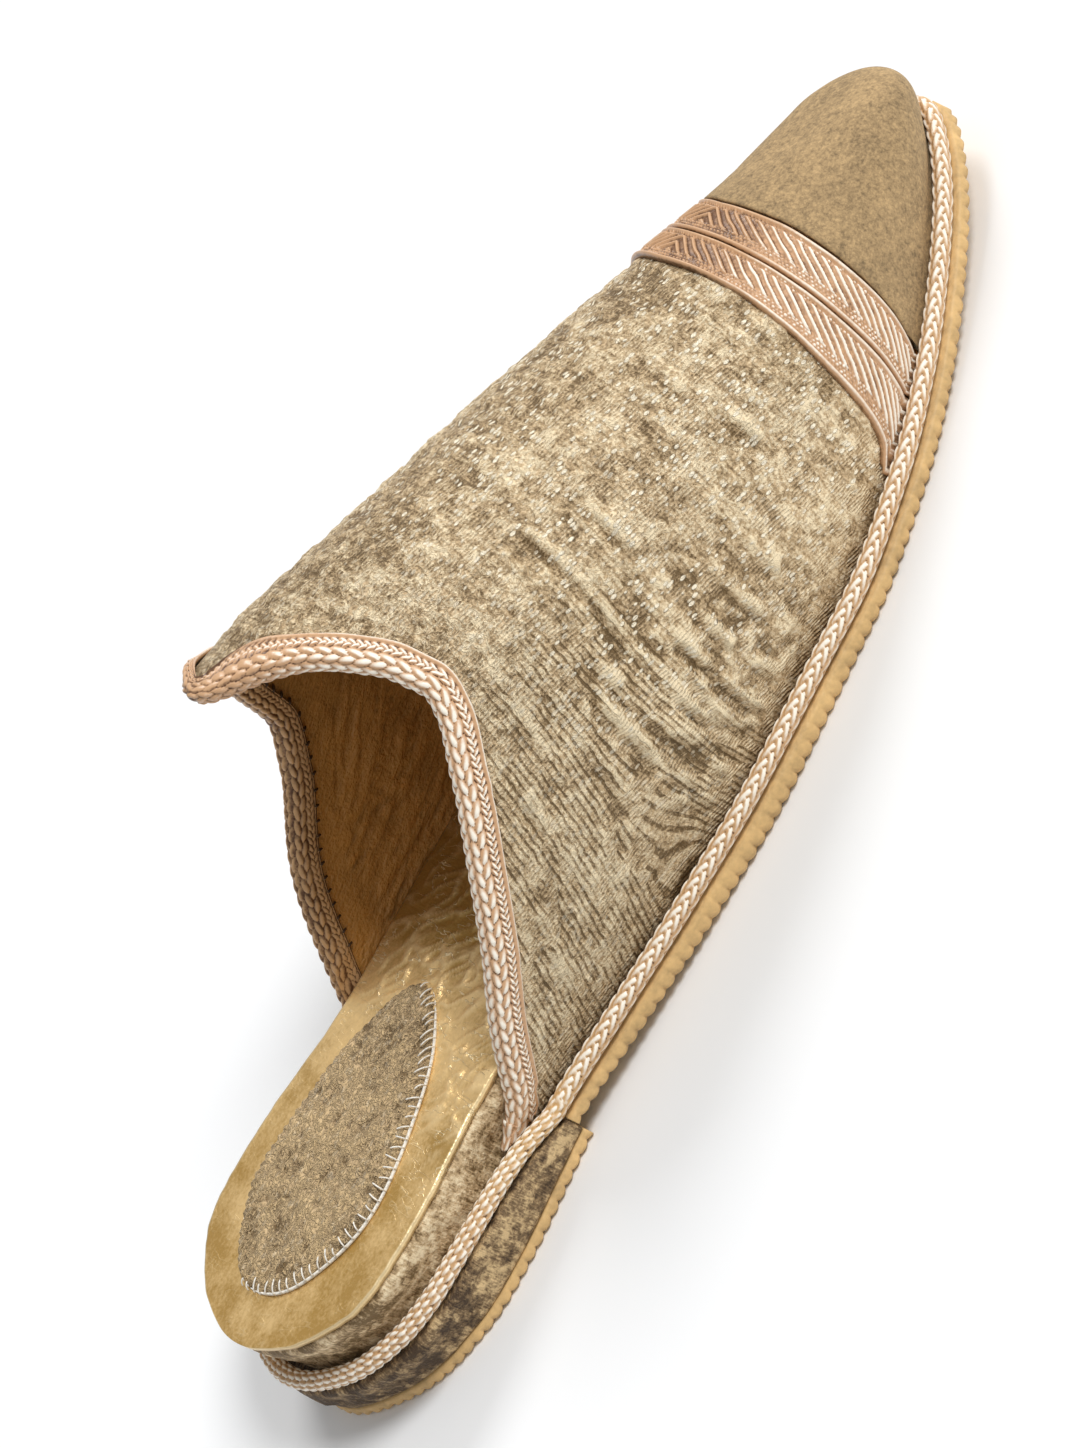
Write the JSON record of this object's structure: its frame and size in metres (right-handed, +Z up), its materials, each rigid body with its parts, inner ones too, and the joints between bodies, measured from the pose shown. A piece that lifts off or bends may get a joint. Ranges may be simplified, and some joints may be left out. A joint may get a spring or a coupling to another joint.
{
  "type": "babouche slipper",
  "caption": "Backless pointed slipper with a hollow velvet upper, braided collar and welt, ribboned suede toe, padded heel seat and a scalloped crepe sole on a low covered heel.",
  "frame": {"origin": "centre of the bottom of the box, on the floor", "axes": "+X from the heel to the toe, +Y to the shoe's left, +Z up"},
  "size_m": [0.2628, 0.0854, 0.0962],
  "materials": {
    "crepe_rubber": "matte honey-tan crepe",
    "heel_velvet": "brown-taupe velvet",
    "gold_leather": "gold metallic grained leather",
    "pad_velvet": "grey-beige velvet",
    "vamp_velvet": "crushed champagne-olive velvet",
    "toe_suede": "fine olive-tan nap",
    "satin_braid": "rose-beige satin braid"
  },
  "bodies": {
    "root": {"outsole": "crepe_rubber", "heel_top_piece": "crepe_rubber", "heel_lift": "heel_velvet", "footbed": "heel_velvet", "insole": "gold_leather", "heel_pad": "pad_velvet", "upper": "vamp_velvet", "toe_cap": "toe_suede", "toe_band_back": "satin_braid", "toe_band_front": "satin_braid", "collar_binding": "satin_braid", "welt_braid": "satin_braid"}
  },
  "joints": []
}
